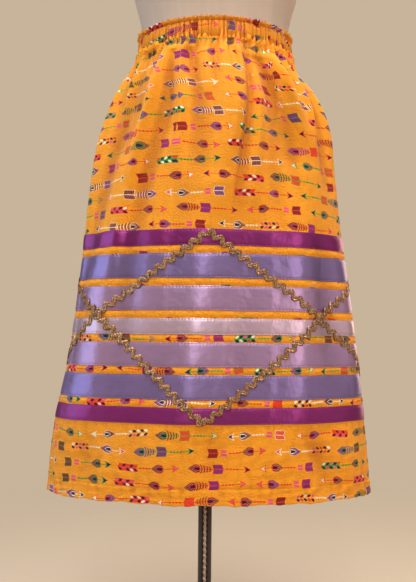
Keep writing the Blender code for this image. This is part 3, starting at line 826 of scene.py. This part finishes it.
@functools.cache
def make_satin(name, width):
    ground, light, _ = SATIN[name]
    graph = material_graph(
        f"{name}_satin_{round(width * 1000)}", Metallic=0.64, Roughness=0.45,
        Anisotropic=0.77, Anisotropic_Rotation=0.25, Specular_IOR_Level=0.85,
        Sheen_Weight=0.06, Sheen_Roughness=0.35, Sheen_Tint=light)
    along, across = graph.place()
    threads = graph.noise((along * 25.0, across * 1500.0), 1.0)
    mottle = graph.noise((along * 14.0, across * 20.0), 1.0, 3.0)
    colour = graph.mix(threads * 0.1 + mottle * 0.1, ground, light)
    stitch_row = ((across - width / 2).abs() - (width / 2 - STITCH_INSET)).abs()
    stitch = stitch_row.below(STITCH_HALF) * (along / STITCH_PITCH).fract().below(0.72)
    colour = graph.mix(stitch * 0.22, colour, light)
    # Painted shade in the creases, by the crease UV map.
    shade = tuple(SATIN_PAINTED_SHADE_LEVEL * part for part in ground[:3]) + (1.0,)
    graph.colour(graph.mix(graph.crease() * SATIN_PAINTED_SHADE_SHARE, colour, shade))
    pucker = 1.0 - (stitch_row / 0.0022).at_most(1.0)
    dents = graph.waves(along, 2 * STITCH_PITCH) * 0.5 + 0.5
    crumple = graph.noise((along * 26.0 + across * 12.0, across * 9.0), 1.0)
    dimple = graph.noise((along * 44.0, across * 62.0), 1.0)
    ripple = graph.noise((along * 120.0, across * 14.0), 1.0)
    relief = threads * 0.05 + ripple * 0.16 + crumple * 1.9 + dimple * 2.0
    graph.bump(relief - pucker * (dents * 0.5 + 0.3), 0.0006, 0.9)
    graph.shade("Tangent", graph.add("Tangent", direction_type="UV_MAP", uv_map="cloth"))
    return graph.owner


# The braid's colours: painted shade between its cords, its own gold, pale painted glints and a
# copper tone.
BRAID_CORD_SHADE = linear(84, 48, 20)
BRAID_GOLD = linear(184, 130, 70)
BRAID_SHINE = linear(250, 214, 168)
BRAID_COPPER = linear(150, 84, 62)


def make_braid_metal():
    graph = material_graph("metallic_braid", Metallic=0.45, Roughness=0.42, Specular_IOR_Level=0.5)
    along, across = graph.place()
    chevron = (along / 0.0019 + across.abs() / 0.0016).fract()
    cord = graph.waves(chevron, 1) * 0.5 + 0.5
    strand = ((across / 0.0034).fract() * math.pi).sin().power(0.6)
    painted_glints, tone, _ = graph.chance((along / 0.0008).floor(), (across / 0.0006).floor())
    # Painted shade between the cords and strands and the gold on their crowns, as the bump has
    # them; the pale specks are painted glints.
    colour = graph.mix(cord * strand, BRAID_CORD_SHADE, BRAID_GOLD)
    colour = graph.mix(painted_glints.above(0.8) * 0.8, colour, BRAID_SHINE)
    graph.colour(graph.mix(tone.below(0.12) * 0.5, colour, BRAID_COPPER))
    graph.bump(cord * strand, 0.0006, 0.9)
    return graph.owner


def make_form_cover():
    """A fine knit over the form."""
    graph = material_graph("form_cover", Roughness=0.88, Sheen_Weight=0.25,
                           Sheen_Roughness=0.5, Specular_IOR_Level=0.2)
    along, up = graph.place()
    mottle = graph.noise((along * 30.0, up * 4.0), 1.0, 3.0)
    graph.colour(graph.mix(mottle, linear(192, 172, 150), linear(214, 198, 178)))
    knit = graph.waves(along, 0.0011) * 0.2 + graph.waves(up, 0.0014) * 0.12
    graph.bump(knit + mottle * 0.5, 0.0006, 0.4)
    return graph.owner


def make_powder_coat():
    graph = material_graph("black_steel", Metallic=0.25, Roughness=0.46, Specular_IOR_Level=0.5)
    place = graph.object_place()
    wear = graph.noise(place, 22.0, 4.0)
    graph.colour(graph.mix(wear, linear(38, 31, 30), linear(60, 50, 47)))
    graph.bump(graph.noise(place, 900.0), 0.0002, 0.5)
    return graph.owner


def make_zinc():
    graph = material_graph("zinc_rod", Metallic=0.75, Roughness=0.42)
    tarnish = graph.noise(graph.object_place(), 160.0, 3.0)
    graph.colour(graph.mix(tarnish, linear(150, 132, 118), linear(206, 190, 172)))
    graph.bump(tarnish, 0.0002, 0.4)
    return graph.owner


# ---- panels and casing

def stretch(top, bottom, gap):
    count = max(1, round((top - bottom) / gap))
    return np.linspace(top, bottom, count, endpoint=False)


def panel_heights():
    """Rows of a panel below the casing's seam, closest where it gathers and between ribbons."""
    stitch = HEM_HEIGHT + HEM_TURN + 0.003
    spans = [(CASING_SEAM - 0.001, 1.0, 0.002), (1.0, 0.9, 0.0032), (0.9, BAND_TOP, 0.0042)]
    for (bottom, top), (_, following) in zip(BAND, BAND[1:] + ((0.0, None),)):
        spans.append((top, bottom, (top - bottom) / 3))
        if following:
            spans.append((bottom, following, 0.0012))
    spans += [(BAND_BOTTOM, stitch, 0.0042), (stitch, HEM_HEIGHT + 0.003, 0.0016)]
    return np.concatenate([stretch(*span) for span in spans])[:, None]


def pleat_crest(fraction):
    """1 on each of the casing's small pleats, 0 in the sharp groove between two."""
    return np.abs(np.cos(math.pi * (GATHERS * fraction + 0.38 * uneven(fraction, 30, 32))))


# Shares of the casing's height: the top of its elastic's channel, and the stitching over it.
CHANNEL_END = 0.8
CASING_STITCH = 0.815


def casing_face(fraction, above):
    """How far out the casing's face stands: uneven pleats, and a crisper ruffle in its header."""
    share = above / CASING_TOP
    channel = np.sin(math.pi * np.clip(share / CHANNEL_END, 0, 1))
    drift = fraction + 0.0018 * (share - 0.4) * uneven(fraction, 15, 35)
    wave = 0.0034 * (pleat_crest(drift) ** 0.7 - 0.72) * (0.85 + 0.45 * uneven(fraction, 23, 31))
    wave = wave + 0.0005 * uneven(fraction, 150, 36)
    header = smoothstep((share - CHANNEL_END) / 0.12)
    ruffle = 0.0028 * uneven(fraction, 95, 33)
    stitched = bell(share - CASING_STITCH, 0.035)
    out = (0.0016 * channel + wave * (1 - header) * (1 - 0.5 * stitched)
           + (ruffle + 0.0014) * header - 0.0017 * stitched - 0.0012 * bell(share, 0.25))
    return np.maximum(out, -0.003)


def head_rise(fraction):
    """How far each gather's head rises over the casing's lower edge."""
    clump = 0.62 + 0.4 * uneven(fraction, 19, 41) + 0.25 * uneven(fraction, 47, 42)
    tall = 0.0085 * smoothstep((uneven(fraction, 13, 43) - 0.3) / 0.5)
    low = 0.0096 * np.clip(clump, 0.15, 1.1)
    return 0.0008 + (low + tall) * pleat_crest(fraction) ** 1.5


def make_panel(name, node, first, last, print_offset, material):
    fraction = np.linspace(first, last, PANEL_COLUMNS)[None, :]
    height = panel_heights()
    seam_distance = np.minimum(fraction - first, last - fraction)
    seam_groove = -0.0016 * bell(seam_distance * SKIRT.girth(height), 0.0022)
    out = gathers_at(fraction, height) + gap_puff(fraction, height)
    out = out + edge_puckers(fraction, height) + seam_groove
    # Painted shade: how deep each place lies in the hollows of folds and creases, between gathers
    # and in small dents darkens the cloth's colour there.
    fine = hollow(lambda f: gathers_at(f, height), fraction, 0.006, 0.0045)
    dented = 0.45 * hollow(lambda f: edge_puckers(f, height), fraction, 0.008, 0.0012)
    crease_shade_mask = 1 - (1 - hollow_between_folds(fraction, height)) * (1 - fine) * (1 - dented)
    strips = [(cloth_at(fraction, height, out), print_place(fraction, height), crease_shade_mask)]

    rise = head_rise(fraction)
    face = casing_face(fraction, rise)
    foot = gathers_at(fraction, CASING_SEAM)
    seam = dipped(CASING_SEAM, fraction)
    # The gathers' heads carry the painted shade of the panel's top row, less towards their tops.
    for share, inward in HEADS:
        above = rise * share
        flat = SKIRT.points(fraction, CASING_SEAM, foot + (face - foot) * inward)
        strips.insert(0, (raised(flat, seam + above), print_place(fraction, CASING_SEAM + above),
                          strips[0][2][:1] * (1 - share)))

    hem_wave = 0.0012 * uneven(fraction, 13, 51) + 0.0006 * uneven(fraction, 41, 52)
    # The hem's rows carry the painted shade of the panel's lowest row.
    for above, inward in HEM_ROLL:
        height = np.full_like(fraction, HEM_HEIGHT + above)
        points = cloth_at(fraction, height, inward + 0.0006 * uneven(fraction, 48, 22))
        points[..., 2] += hem_wave
        strips.append((points, print_place(fraction, height), strips[-1][2][-1:]))

    points, places, crease_shade_mask = (np.concatenate(parts) for parts in zip(*strips))
    return make_piece(name, node, "printed_cotton", material, points, places + print_offset,
                      crease_shade_mask, closed=False)


def make_casing(material):
    fraction = around(CASING_COLUMNS)
    top_wave = 0.0015 * uneven(fraction, 100, 34)
    levels = np.concatenate([
        np.linspace(-0.001, 0.006, 6), np.linspace(0.0085, 0.0265, 9),
        np.linspace(0.028, 0.035, 9)])[:, None]
    out = casing_face(fraction, np.maximum(levels, 0.0))
    out[0] -= 0.002
    rows = [(levels + top_wave * smoothstep((levels - 0.03) / 0.006), out)]
    face = casing_face(fraction, np.full((1, 1), CASING_TOP))
    rows += [(above + top_wave, face + inward) for above, inward in CASING_CROWN]
    rows += [(np.full_like(fraction, above), np.full_like(fraction, CASING_INNER))
             for above in CASING_INSIDE]
    above, out = (np.concatenate(parts) for parts in zip(*rows))
    flat = SKIRT.points(fraction, CASING_SEAM, out)
    points = raised(flat, dipped(CASING_SEAM, fraction) + above)
    places = print_place(fraction, CASING_SEAM + np.maximum(above, 0)) + (0.0, 0.004)
    level = np.clip(above, 0.0, CASING_TOP)
    # Painted shade on the casing: darker in the grooves between its pleats, along its lower edge
    # under the gathers' heads, at its stitching and on its header's top rim, and somewhat darker
    # all over.
    grooves = hollow(lambda f: casing_face(f, level), fraction, 0.0055, 0.0022)
    low = 0.45 * bell(level, 0.009) + 0.35 * bell(level - CASING_STITCH * CASING_TOP, 0.0016)
    low = low + 0.5 * smoothstep((level - 0.0352) / 0.0006)
    crease_shade_mask = 1 - (1 - grooves) * (1 - low) * 0.6
    return make_piece("waist_casing", "waistband_casing", "printed_cotton", material,
                      points, places, crease_shade_mask)


# ---- ribbons and rickrack

def make_ribbon(number, colour, width, top):
    fraction = around(RIBBON_COLUMNS)
    profile = list(RIBBON_EDGE)
    profile += [(width * share, RIBBON_FACE) for share in (0.3, 0.4, 0.5, 0.6, 0.7)]
    profile += [(width - inward, out) for inward, out in reversed(RIBBON_EDGE)]
    above, out = np.array(profile).T[..., None]
    across = above / width - 0.5
    lean = fraction + 0.01 * across * uneven(fraction, 9, 80 + number)
    middle = 1 - 4 * across ** 2
    out = out + 0.0001 * uneven(lean, 34, 60 + number) * middle
    out = out + 0.00003 * uneven(lean, 80, 90 + number) * (1.0 - 0.5 * middle)
    height = top - width + above + 0.0004 * uneven(fraction, 11, 70 + number)
    places = joined(fraction * SKIRT.girth(top - width / 2), above)
    # The satin takes painted shade where it lies in a fold's hollow.
    return make_piece(
        f"satin_{number}", f"ribbon_{number}_{colour}", SATIN[colour][2],
        make_satin(colour, width), cloth_at(fraction, height, out), places,
        hollow_between_folds(fraction, height))


def strides(fraction, height):
    """Run round the skirt, rise and length of each step of a closed line."""
    run = round_to(np.roll(fraction, -1), np.roll(fraction, 1)) / 2 * SKIRT.girth(height)
    rise = (np.roll(height, -1) - np.roll(height, 1)) / 2
    return run, rise, np.hypot(run, rise)


def sidestep(fraction, height, side):
    """A closed line moved to its left over the cloth."""
    run, rise, step = strides(fraction, height)
    return fraction - rise / step * side / SKIRT.girth(height), height + run / step * side


def braid_line(starts_down):
    """A rickrack's middle line in its waves, and how far each point is from a crossing."""
    legs = len(BRAID_TURNS) - 1
    corners = []
    for i in range(legs + 1):
        turn = BRAID_BOTTOM if (i // 2 % 2 == 0) == starts_down else BRAID_TOP
        corners.append(BRAID_CROSSINGS[i // 2] if i % 2 == 0 else turn)
    share = np.arange(0, legs, 1 / BRAID_STEPS)
    fraction = np.interp(share, range(legs + 1), BRAID_TURNS)
    height = np.interp(share, range(legs + 1), corners)
    reach = 5  # steps over which a corner is rounded
    kernel = np.hanning(2 * reach + 3)[1:-1]
    kernel /= kernel.sum()
    height = np.concatenate([height[-reach:], height, height[:reach]])
    height = np.convolve(height, kernel, "valid")

    step = strides(fraction, height)[2]
    phase, to_crossing = np.zeros_like(share), np.zeros_like(share)
    for i in range(legs):
        on_leg = (share >= i) & (share < i + 1)
        length = step[on_leg].sum()
        done = np.cumsum(step[on_leg]) - step[on_leg] / 2
        phase[on_leg] = 2 * math.pi * round(length / BRAID_PITCH) * done / length
        to_crossing[on_leg] = done if i % 2 == 0 else length - done
    return *sidestep(fraction, height, BRAID_SWING * np.sin(phase)), to_crossing


def make_braid(name, node, starts_down, lifted, material):
    """Rickrack: a flat braid laid in even waves along its line, over ribbons and cloth."""
    fraction, height, to_crossing = braid_line(starts_down)
    travelled = np.cumsum(strides(fraction, height)[2])
    lift = 1 - smoothstep((to_crossing - LIFT_FULL) / (LIFT_END - LIFT_FULL))
    seat = BRAID_SEAT + (BRAID_LIFT * lift if lifted else 0.0)
    rows, places = [], []
    for turn in np.linspace(0, 2 * math.pi, 13):
        side = math.copysign(abs(math.cos(turn)) ** 0.8, math.cos(turn)) * BRAID_HALF_BAND
        out = seat + BRAID_HALF_THICKNESS + BRAID_HALF_THICKNESS * math.sin(turn)
        rows.append(cloth_at(*sidestep(fraction, height, side), out))
        places.append(joined(travelled, side))
    points, places = np.stack(rows, axis=1), np.stack(places, axis=1)
    points = np.concatenate([points, points[:1]])
    places = np.concatenate([places, places[:1] + (travelled[-1], 0.0)])
    return make_piece(name, node, "metallic_rickrack", material, points, places)


# ---- form and stand

FORM_SEAMS = (-0.25, -0.085, 0.0, 0.085, 0.25, 0.415, 0.5, -0.415)
FORM_PLACE_GIRTH = 0.85  # the cover's knit is laid out over this width
SEAMS_END = 1.43
SHARP = math.radians(40)


def make_form(material):
    fraction = around(FORM_COLUMNS)
    middle = FORM_SECTIONS[0, 1]

    def cap(end, share, height, spread):
        """A ring that closes one end, at a share of that end's size."""
        ring = middle + (FORM.points(fraction, end, 0.0) - middle) * share
        place = joined(fraction * FORM_PLACE_GIRTH, end + (1 - share) * spread)
        return raised(ring, height), place

    heights = np.concatenate([
        np.linspace(FORM_BOTTOM, 1.38, 110), np.linspace(1.384, 1.4985, 42)])[:, None]
    girth = FORM.girth(heights)
    groove = sum(bell(round_to(fraction, seam) * girth, 0.0022) for seam in FORM_SEAMS)
    body = FORM.points(fraction, heights, -0.0007 * groove * (heights < SEAMS_END))
    strips = [cap(FORM_BOTTOM, share, FORM_BOTTOM, -0.1) for share in (0.02, 0.5, 0.97)]
    strips.append((raised(body, heights), joined(fraction * FORM_PLACE_GIRTH, heights)))
    strips += [cap(FORM_TOP, share, height, 0.05) for share, height in (
        (0.985, 1.4998), (0.93, FORM_TOP), (0.5, FORM_TOP), (0.02, FORM_TOP))]
    points, places = (np.concatenate(parts) for parts in zip(*strips))
    return make_piece("form_body", "form_torso", "form_cover", material, points, places)


POLE_LOW = BASE_THICKNESS + 0.0003
POLE_HIGH = 0.7897
POLE_BEVEL = 0.0005
SLOT_HALF = 0.0046  # the pole's front slot, in which its lifting screw shows
SLOT_DEPTH = 0.005
SCREW_RADIUS = 0.004
SCREW_PITCH = 0.0096


def make_pole(material):
    half_angle = math.asin(SLOT_HALF / POLE_RADIUS)
    angle = np.linspace(half_angle, 2 * math.pi - half_angle, 72)
    bottom = -POLE_RADIUS + SLOT_DEPTH
    slot = [(-SLOT_HALF, bottom), (0.0, bottom), (SLOT_HALF, bottom)]
    round_part = joined(POLE_RADIUS * np.sin(angle), -POLE_RADIUS * np.cos(angle))
    x, y = np.concatenate([round_part, slot, round_part[:1]]).T
    shrink, height = np.array((
        (0.02, POLE_LOW), (0.97, POLE_LOW), (1.0, POLE_LOW + POLE_BEVEL),
        (1.0, POLE_HIGH - POLE_BEVEL), (0.97, POLE_HIGH), (0.02, POLE_HIGH))).T[..., None]
    pole = make_piece("pole", "stand_pole", "black_steel", material,
                      joined(x * shrink, y * shrink, height),
                      joined(np.linspace(0, 0.07, len(x)), height))
    pole.data.set_sharp_from_angle(angle=SHARP)


def make_screw(material):
    """The lifting screw, which shows in the pole's slot."""
    height = np.arange(POLE_LOW + 0.004, POLE_HIGH - 0.004, SCREW_PITCH / 8)[:, None]
    angle = (around(20) + 0.5) * 2 * math.pi
    thread = np.cos(angle + height * 2 * math.pi / SCREW_PITCH)
    radius = SCREW_RADIUS * (0.86 + 0.14 * np.tanh(thread * 3.0))
    centre = -POLE_RADIUS + SCREW_RADIUS + 0.0006
    make_piece("lifting_screw", None, "black_steel", material,
               joined(radius * np.sin(angle), centre - radius * np.cos(angle), height),
               joined(angle * SCREW_RADIUS, height))


def rounded(corner_radius, corner_height, radius, start, end, steps=6):
    """Points of an arc round a centre, from one angle to another in degrees."""
    return [(corner_radius + radius * math.cos(math.radians(a)),
             corner_height + radius * math.sin(math.radians(a)))
            for a in np.linspace(start, end, steps)]


def make_base(material):
    """The base plate and its hub: a turned shape from radius and height pairs."""
    bore = POLE_RADIUS + 0.0002
    profile = [(bore, BASE_THICKNESS), (bore, HUB_HEIGHT)]
    profile += rounded(HUB_RADIUS - 0.003, HUB_HEIGHT - 0.003, 0.003, 90, 0)
    profile += rounded(HUB_RADIUS + 0.01, BASE_THICKNESS + 0.01, 0.01, 180, 270, 8)
    profile += rounded(BASE_RADIUS - 0.0045, BASE_THICKNESS - 0.0045, 0.0045, 90, 0)
    profile += rounded(BASE_RADIUS - 0.0015, 0.0015, 0.0015, 0, -90, 4)
    profile += [(0.1, 0.0), (bore, 0.0), (bore, BASE_THICKNESS)]
    radius, height = np.array(profile).T[..., None]
    angle = (around(96) + 0.5) * 2 * math.pi
    base = make_piece("base_plate", "stand_base", "black_steel", material,
                      joined(radius * np.cos(angle), radius * np.sin(angle), height),
                      joined(angle * 0.1, height))
    base.data.set_sharp_from_angle(angle=SHARP)


# ---- stage

IMAGE_HEIGHT = 582
FOCAL_PIXELS = 847
CAMERA_PLACE = (0.0021, -1.42, 0.58)
HORIZON_ROW = 335
CAMERA_ROLL = 0.0096

WHITE = (0.95, 0.97, 1.0)
WARM = (1.0, 0.74, 0.54)
AIM = 0.7  # the height over the middle of the floor that a lamp points at
LIGHTS = (  # name, place, aim, size, power, colour
    ("overhead", (0.0, -0.58, 2.66), AIM, 0.7, 48, (1.0, 0.99, 0.96)),
    ("front", (-0.12, -2.8, 1.75), AIM, 0.24, 13, WHITE),
    ("left_wall", (-2.5, -1.7, 1.2), AIM, 3.0, 11, (1.0, 0.88, 0.82)),
    ("window", (-2.5, -0.2, 1.1), AIM, 2.4, 34, (0.56, 0.73, 1.0)),
    ("right", (1.9, -2.0, 1.3), AIM, 0.9, 21, (1.0, 0.86, 0.84)),
    ("right_wall", (2.6, -0.7, 1.2), AIM, 1.7, 6, (1.0, 0.86, 0.82)),
    ("floor_bounce", (0.0, -1.3, 0.06), 0.4, 1.0, 0.6, (1.0, 0.5, 0.28)),
    ("back", (0.4, 1.3, 2.9), AIM, 0.9, 40, WHITE),
    ("back_side", (2.0, 2.2, 1.3), AIM, 2.0, 26, WARM),
)
FLOOR_RADIUS = 3.2
FLOOR_SIDES = 96
FLOOR_END = 2.4  # where it has thinned out, and over how far it does
FLOOR_FADE = 1.8
AMBIENT = (1.0, 0.68, 0.46, 1.0)
AMBIENT_STRENGTH = 0.19
BACKDROP = linear(199, 180, 154)


def make_camera():
    data = bpy.data.cameras.new("camera")
    data.sensor_width = 36
    data.lens = FOCAL_PIXELS / IMAGE_HEIGHT * data.sensor_width
    data.shift_y = (HORIZON_ROW - IMAGE_HEIGHT / 2) / IMAGE_HEIGHT
    data.clip_start = 0.05
    camera = new_object("camera", data)
    level = Matrix.Rotation(math.pi / 2, 4, "X")
    camera.matrix_world = (
        Matrix.Translation(CAMERA_PLACE) @ level @ Matrix.Rotation(CAMERA_ROLL, 4, "Z"))
    bpy.context.scene.camera = camera


def make_lights():
    for name, place, aim, size, power, colour in LIGHTS:
        data = bpy.data.lights.new(name, "AREA")
        data.shape = "DISK"
        data.size = size
        data.energy = power
        data.color = colour
        data.spread = math.pi
        light = new_object(name, data)
        light.location = place
        direction = Vector((0.0, 0.0, aim)) - light.location
        light.rotation_euler = direction.to_track_quat("-Z", "Y").to_euler()


def make_floor():
    """A pale floor that thins out into the plain background."""
    mesh = bpy.data.meshes.new("floor")
    ring = [(FLOOR_RADIUS * math.cos(a), FLOOR_RADIUS * math.sin(a), 0.0)
            for a in np.linspace(0, 2 * math.pi, FLOOR_SIDES, endpoint=False)]
    mesh.from_pydata(ring, [], [tuple(range(FLOOR_SIDES))])
    graph = material_graph("pale_floor", Roughness=0.75, Specular_IOR_Level=0.2)
    place = graph.object_place()
    cloud = graph.noise(place, 1.5)
    graph.colour(graph.mix(cloud, linear(196, 178, 154), linear(204, 187, 164)))
    distance = graph.add("VectorMath", {0: place}, "Value", operation="LENGTH")
    kept = ((FLOOR_END - distance) / FLOOR_FADE).at_least(0.0).at_most(1.0)
    graph.shade("Alpha", kept * kept)
    mesh.materials.append(graph.owner)
    new_object("floor", mesh)


def make_world():
    """A plain backdrop colour, and a dimmer, warmer light from all round."""
    graph = Graph(bpy.data.worlds.new("studio"), "Background", Color=AMBIENT,
                  Strength=AMBIENT_STRENGTH)
    bpy.context.scene.world = graph.owner
    seen = graph.add("MixShader", {
        0: graph.add("LightPath", output="Is Camera Ray"),
        1: Signal(graph, graph.shader.outputs[0]),
        2: graph.add("Background", {0: BACKDROP})})
    graph.feed(graph.tree.nodes["World Output"].inputs[0], seen)


# ---- everything

BACK_PRINT = (0.041, 0.009)  # how far the back panel's print is shifted from the front's


def main():
    make_camera()
    cotton = make_cotton()
    front = make_panel("front_panel", "skirt_front", -SEAM_SIDE, SEAM_SIDE, (0.0, 0.0), cotton)
    back = make_panel("back_panel", "skirt_back", SEAM_SIDE, 1 - SEAM_SIDE, BACK_PRINT, cotton)
    casing = make_casing(cotton)
    ribbons = [make_ribbon(number, colour, width, top)
               for number, ((colour, width), (_, top)) in enumerate(zip(RIBBONS, BAND), 1)]
    metal = make_braid_metal()
    braids = [make_braid("rickrack_under", "rickrack_a", True, False, metal),
              make_braid("rickrack_over", "rickrack_b", False, True, metal)]
    form = make_form(make_form_cover())
    coat = make_powder_coat()
    make_pole(coat)
    make_screw(make_zinc())
    make_base(coat)

    hem = float(SKIRT.girth(HEM_HEIGHT)) / 2
    waist = float(SKIRT.girth(CASING_SEAM)) / 2 * (1 + GATHERED_IN)
    for ribbon, (_, width), (_, top) in zip(ribbons, RIBBONS, BAND):
        length = float(SKIRT.girth(top - width / 2)) + RIBBON_OVERLAP

    bpy.context.scene.view_settings.view_transform = "Standard"
    make_world()
    make_lights()
    make_floor()


main()
